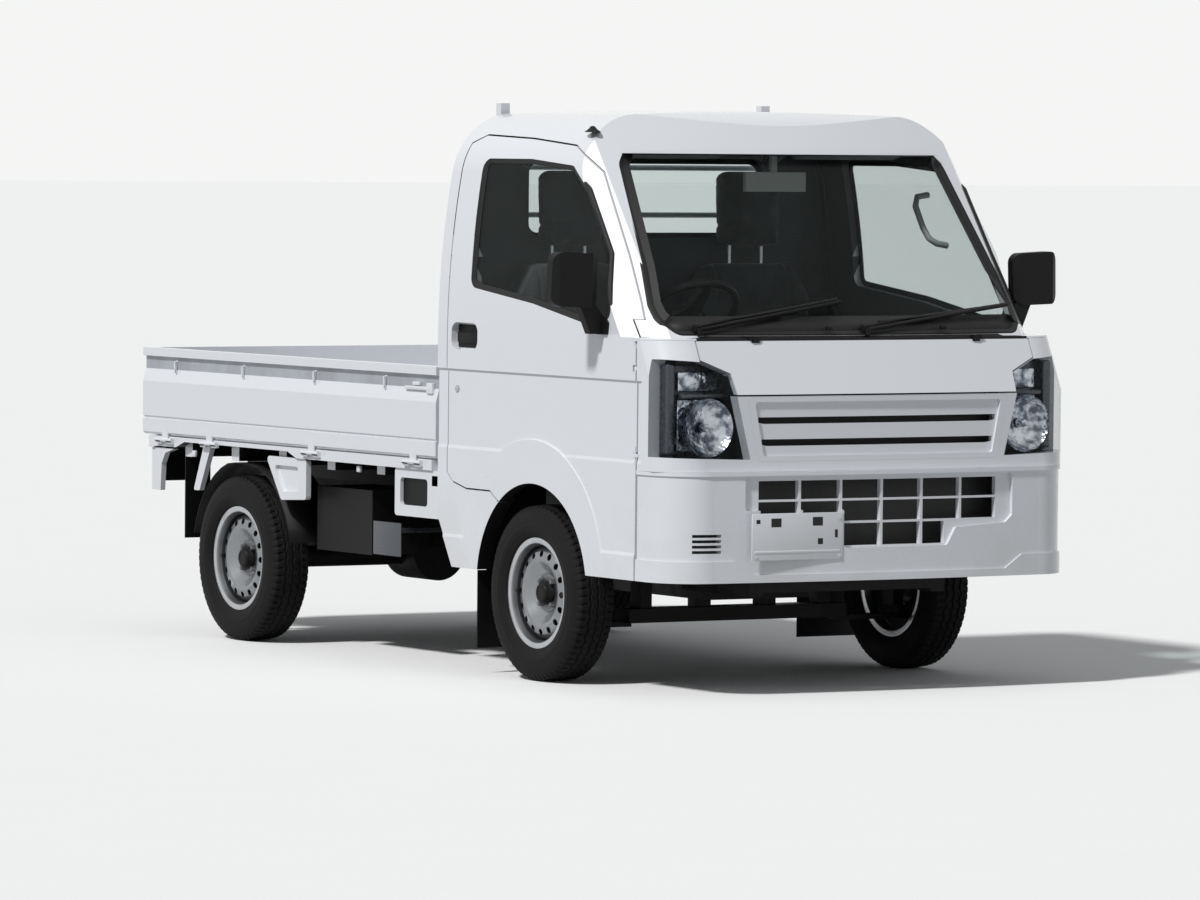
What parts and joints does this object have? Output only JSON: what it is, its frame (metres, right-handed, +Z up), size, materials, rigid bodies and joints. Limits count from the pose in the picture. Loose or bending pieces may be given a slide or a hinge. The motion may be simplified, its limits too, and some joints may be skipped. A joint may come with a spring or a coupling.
{
  "type": "kei truck",
  "caption": "Small cab-over truck with a drop-side bed, two doors, steering front wheels and folding gates.",
  "frame": {"origin": "on the ground at the middle of the truck's outer box", "axes": "+Z up, the front faces -Y, the driver sits at -X"},
  "size_m": [1.8458, 3.3945, 1.77],
  "materials": {
    "white_paint": "gloss white coat",
    "clear_glass": "clear, slightly green",
    "black_plastic": "fine grain",
    "grey_plastic": "grained grey",
    "seat_cloth": "dark woven cloth",
    "frame_paint": "satin black",
    "bare_iron": "as cast",
    "pipe_steel": "dull steel",
    "wheel_silver": "silver paint",
    "tyre_rubber": "black rubber",
    "flap_rubber": "black rubber",
    "red_lens": "red with amber and clear bands"
  },
  "bodies": {
    "truck": {"cab_shell": "white_paint", "front_panel": "white_paint", "front_bumper": "white_paint", "headboard": "white_paint", "bed_floor": "white_paint", "bed_brackets": "white_paint", "grille_panel": "white_paint", "rear_view_mirror": "white_paint", "windscreen": "clear_glass", "rear_window": "clear_glass", "headlamps": "clear_glass", "cowl_panel": "black_plastic", "wipers": "black_plastic", "steering_column": "black_plastic", "floor_levers": "black_plastic", "battery_box": "black_plastic", "fuel_tank": "black_plastic", "dashboard": "grey_plastic", "cab_floor": "grey_plastic", "seat_cushions": "seat_cloth", "seat_backs": "seat_cloth", "headrests": "seat_cloth", "chassis_frame": "frame_paint", "front_suspension": "frame_paint", "rear_axle": "frame_paint", "leaf_springs": "frame_paint", "engine_block": "bare_iron", "propeller_shaft": "bare_iron", "exhaust": "pipe_steel", "mud_flaps": "flap_rubber", "rear_lamps": "red_lens"},
    "knuckle_left": {"knuckle_left": "frame_paint"},
    "knuckle_right": {"knuckle_right": "frame_paint"},
    "steering_wheel": {"steering_wheel": "black_plastic"},
    "front_wheel_left": {"rim_front_left": "wheel_silver", "tyre_front_left": "tyre_rubber"},
    "front_wheel_right": {"rim_front_right": "wheel_silver", "tyre_front_right": "tyre_rubber"},
    "rear_wheel_left": {"rim_rear_left": "wheel_silver", "tyre_rear_left": "tyre_rubber"},
    "rear_wheel_right": {"rim_rear_right": "wheel_silver", "tyre_rear_right": "tyre_rubber"},
    "door_left": {"door_left": "white_paint", "door_glass_left": "clear_glass", "door_mirror_left": "black_plastic"},
    "door_right": {"door_right": "white_paint", "door_glass_right": "clear_glass", "door_mirror_right": "black_plastic"},
    "side_gate_left": {"side_gate_left": "white_paint"},
    "side_gate_right": {"side_gate_right": "white_paint"},
    "tailgate": {"tailgate": "white_paint"},
    "hood_lid": {"hood_lid": "white_paint"}
  },
  "joints": [
    {"name": "steer_left", "type": "hinge", "parent": "truck", "child": "knuckle_left", "pos_m": [0.622, -0.846, 0.175], "axis": [-0.2042, 0, 0.9789], "range_deg": [-35, 35]},
    {"name": "steer_right", "type": "hinge", "parent": "truck", "child": "knuckle_right", "pos_m": [-0.622, -0.846, 0.175], "axis": [0.2042, 0, 0.9789], "range_deg": [-35, 35]},
    {"name": "steering_wheel_turn", "type": "hinge", "parent": "truck", "child": "steering_wheel", "pos_m": [-0.33, -1.08, 1.12], "axis": [0, 0.6428, 0.766], "range_deg": [-560, 560]},
    {"name": "front_wheel_left_spin", "type": "hinge", "parent": "knuckle_left", "child": "front_wheel_left", "pos_m": [0.6525, -0.846, 0.271], "axis": [1, 0, 0], "continuous": true},
    {"name": "front_wheel_right_spin", "type": "hinge", "parent": "knuckle_right", "child": "front_wheel_right", "pos_m": [-0.6525, -0.846, 0.271], "axis": [1, 0, 0], "continuous": true},
    {"name": "rear_wheel_left_spin", "type": "hinge", "parent": "truck", "child": "rear_wheel_left", "pos_m": [0.645, 1.059, 0.271], "axis": [1, 0, 0], "continuous": true},
    {"name": "rear_wheel_right_spin", "type": "hinge", "parent": "truck", "child": "rear_wheel_right", "pos_m": [-0.645, 1.059, 0.271], "axis": [1, 0, 0], "continuous": true},
    {"name": "door_left_swing", "type": "hinge", "parent": "truck", "child": "door_left", "pos_m": [0.7325, -1.447, 0.85], "axis": [0, 0, -1], "range_deg": [0, 65]},
    {"name": "door_right_swing", "type": "hinge", "parent": "truck", "child": "door_right", "pos_m": [-0.7325, -1.447, 0.85], "axis": [0, 0, 1], "range_deg": [0, 65]},
    {"name": "side_gate_left_drop", "type": "hinge", "parent": "truck", "child": "side_gate_left", "pos_m": [0.7305, 0.7, 0.64], "axis": [0, 1, 0], "range_deg": [0, 175]},
    {"name": "side_gate_right_drop", "type": "hinge", "parent": "truck", "child": "side_gate_right", "pos_m": [-0.7305, 0.7, 0.64], "axis": [0, -1, 0], "range_deg": [0, 175]},
    {"name": "tailgate_drop", "type": "hinge", "parent": "truck", "child": "tailgate", "pos_m": [0, 1.6905, 0.64], "axis": [-1, 0, 0], "range_deg": [0, 175]},
    {"name": "hood_lid_lift", "type": "hinge", "parent": "truck", "child": "hood_lid", "pos_m": [0, -1.588, 1.073], "axis": [-1, 0, 0], "range_deg": [0, 75]}
  ],
  "couplings": [
    {"joint": "steer_right", "follows": "steer_left", "ratio": 1},
    {"joint": "steering_wheel_turn", "follows": "steer_left", "ratio": 16}
  ]
}
